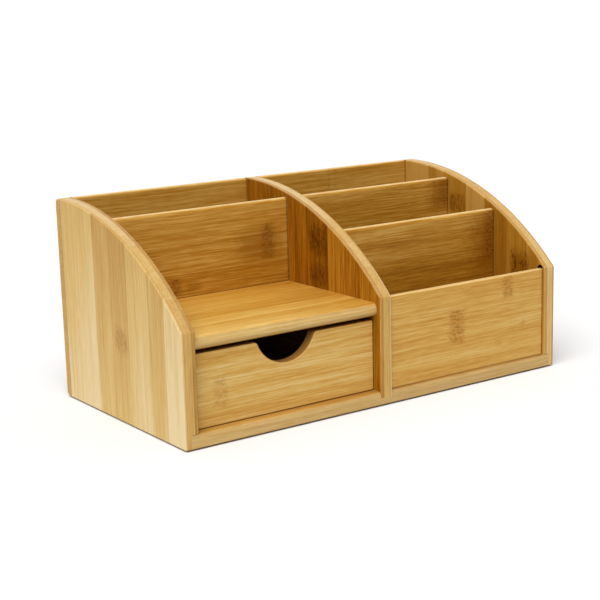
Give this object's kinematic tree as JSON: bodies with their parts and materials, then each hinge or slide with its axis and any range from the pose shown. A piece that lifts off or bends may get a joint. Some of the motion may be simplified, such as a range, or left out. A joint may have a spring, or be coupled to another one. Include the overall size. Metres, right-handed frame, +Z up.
{
  "type": "desk organizer with drawer",
  "caption": "Bamboo desk organizer with arched uprights, stepped open compartments and a tray above a sliding drawer with a finger notch.",
  "frame": {"origin": "middle of the footprint, on the surface that the organizer stands on", "axes": "+X to the right seen from the front, +Y to the back, +Z up; the drawer opens towards -Y"},
  "size_m": [0.27, 0.14, 0.12],
  "materials": {
    "upright_bamboo": "clear satin lacquer over bamboo",
    "board_bamboo": "clear satin lacquer over bamboo",
    "thin_bamboo": "clear satin lacquer over bamboo",
    "drawer_bamboo": "clear satin lacquer over bamboo"
  },
  "bodies": {
    "case": {"base_board": "board_bamboo", "left_side_panel": "upright_bamboo", "right_side_panel": "upright_bamboo", "centre_divider": "upright_bamboo", "back_panel": "board_bamboo", "drawer_shelf": "board_bamboo", "left_partition": "thin_bamboo", "right_rear_partition": "thin_bamboo", "right_middle_partition": "thin_bamboo", "right_front_panel": "thin_bamboo"},
    "drawer": {"drawer_front": "drawer_bamboo", "drawer_left_side": "drawer_bamboo", "drawer_right_side": "drawer_bamboo", "drawer_back": "drawer_bamboo", "drawer_bottom": "drawer_bamboo"}
  },
  "joints": [
    {"name": "drawer_slide", "type": "slide", "parent": "case", "child": "drawer", "axis": [0, -1, 0], "range_m": [0, 0.1]}
  ]
}
